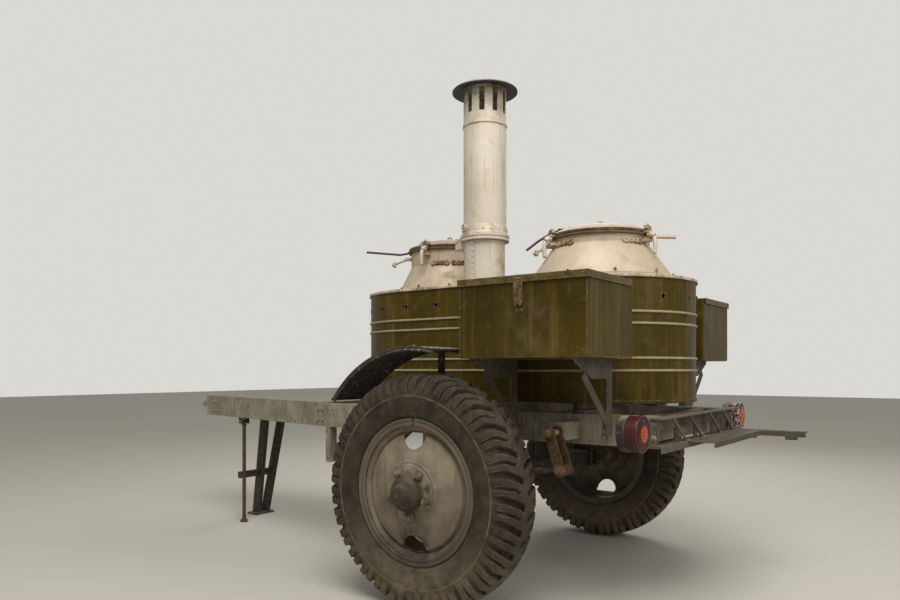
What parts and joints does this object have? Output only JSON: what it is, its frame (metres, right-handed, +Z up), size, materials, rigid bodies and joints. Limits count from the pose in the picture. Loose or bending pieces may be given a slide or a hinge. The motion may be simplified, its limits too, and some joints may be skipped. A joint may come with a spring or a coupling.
{
  "type": "military field kitchen trailer",
  "caption": "Two-wheeled field kitchen trailer with an oblong casing, domed boilers with cone necks, a folding chimney, side boxes, drawbar and stand.",
  "frame": {"origin": "on the ground, midway along the trailer's length and width", "axes": "+X forward to the towing eye, +Y to the trailer's left, +Z up"},
  "size_m": [3.771, 1.99, 2.264],
  "materials": {
    "tyre": "dusty black rubber",
    "wheel_paint": "worn grey-green paint",
    "olive_paint": "glossy olive green paint",
    "frame_paint": "weathered grey paint",
    "pale_paint": "pale grey-cream paint with rust",
    "dark_steel": "dark worn paint",
    "rusty_steel": "rusty steel",
    "lamp_red": "red lens"
  },
  "bodies": {
    "chassis": {"axle": "dark_steel", "leaf_spring_left": "rusty_steel", "leaf_spring_right": "rusty_steel", "axle_clamp_left": "dark_steel", "axle_clamp_right": "dark_steel", "spring_hangers_left": "frame_paint", "spring_hangers_right": "frame_paint", "shackle_left": "rusty_steel", "shackle_right": "rusty_steel", "mudguard_left": "dark_steel", "mudguard_right": "dark_steel", "side_rail_left": "frame_paint", "side_rail_right": "frame_paint", "drawbar_beam_left": "frame_paint", "drawbar_beam_right": "frame_paint", "tail_lamp_left": "lamp_red", "tail_lamp_right": "lamp_red", "box_body_left": "olive_paint", "box_body_right": "olive_paint", "box_brackets_left": "frame_paint", "box_brackets_right": "frame_paint", "cross_members": "frame_paint", "drawbar_nose": "frame_paint", "drawbar_deck": "frame_paint", "stand_tube": "dark_steel", "prop_bracket": "dark_steel", "rear_beam": "frame_paint", "rear_step": "frame_paint", "casing_feet": "dark_steel", "casing": "olive_paint", "casing_deck": "olive_paint", "boiler_rear": "pale_paint", "boiler_front": "pale_paint", "chimney_stub": "pale_paint", "firebox_front": "dark_steel", "firebox_rear": "dark_steel", "fire_door_hinge_front": "dark_steel", "fire_door_hinge_rear": "dark_steel"},
    "wheel_left": {"tyre_left": "tyre", "wheel_left": "wheel_paint"},
    "wheel_right": {"tyre_right": "tyre", "wheel_right": "wheel_paint"},
    "lid_rear": {"boiler_lid_rear": "pale_paint"},
    "lid_front": {"boiler_lid_front": "pale_paint"},
    "chimney": {"chimney_pipe": "pale_paint"},
    "box_lid_left": {"box_lid_left": "olive_paint"},
    "box_lid_right": {"box_lid_right": "olive_paint"},
    "fire_door_front": {"fire_door_front": "olive_paint"},
    "fire_door_rear": {"fire_door_rear": "olive_paint"},
    "stand": {"front_stand": "dark_steel"},
    "prop": {"prop_leg": "rusty_steel"}
  },
  "joints": [
    {"name": "wheel_left_spin", "type": "hinge", "parent": "chassis", "child": "wheel_left", "pos_m": [-0.7455, 0.81, 0.465], "axis": [0, 1, 0], "continuous": true},
    {"name": "wheel_right_spin", "type": "hinge", "parent": "chassis", "child": "wheel_right", "pos_m": [-0.7455, -0.81, 0.465], "axis": [0, 1, 0], "continuous": true},
    {"name": "chimney_fold", "type": "hinge", "parent": "chassis", "child": "chimney", "pos_m": [-0.5495, 0.3, 1.541], "axis": [0, 1, 0], "range_deg": [0, 90]},
    {"name": "lid_rear_open", "type": "hinge", "parent": "chassis", "child": "lid_rear", "pos_m": [-1.1155, -0.252, 1.537], "axis": [1, 0, 0], "range_deg": [0, 95]},
    {"name": "lid_front_open", "type": "hinge", "parent": "chassis", "child": "lid_front", "pos_m": [-0.2555, -0.237, 1.557], "axis": [1, 0, 0], "range_deg": [0, 95]},
    {"name": "box_lid_left_open", "type": "hinge", "parent": "chassis", "child": "box_lid_left", "pos_m": [-1.18, 0.434, 1.289], "axis": [1, 0, 0], "range_deg": [0, 100]},
    {"name": "box_lid_right_open", "type": "hinge", "parent": "chassis", "child": "box_lid_right", "pos_m": [-1.18, -0.434, 1.289], "axis": [-1, 0, 0], "range_deg": [0, 100]},
    {"name": "fire_door_front_open", "type": "hinge", "parent": "chassis", "child": "fire_door_front", "pos_m": [-0.3015, -0.428, 0.875], "axis": [0, 0, 1], "range_deg": [0, 90]},
    {"name": "fire_door_rear_open", "type": "hinge", "parent": "chassis", "child": "fire_door_rear", "pos_m": [-0.8795, -0.428, 0.875], "axis": [0, 0, -1], "range_deg": [0, 90]},
    {"name": "stand_fold", "type": "hinge", "parent": "chassis", "child": "stand", "pos_m": [1.1645, 0, 0.687], "axis": [0, 1, 0], "range_deg": [0, 98]},
    {"name": "prop_fold", "type": "hinge", "parent": "chassis", "child": "prop", "pos_m": [1.1595, 0.24, 0.619], "axis": [0, 1, 0], "range_deg": [0, 85]}
  ]
}
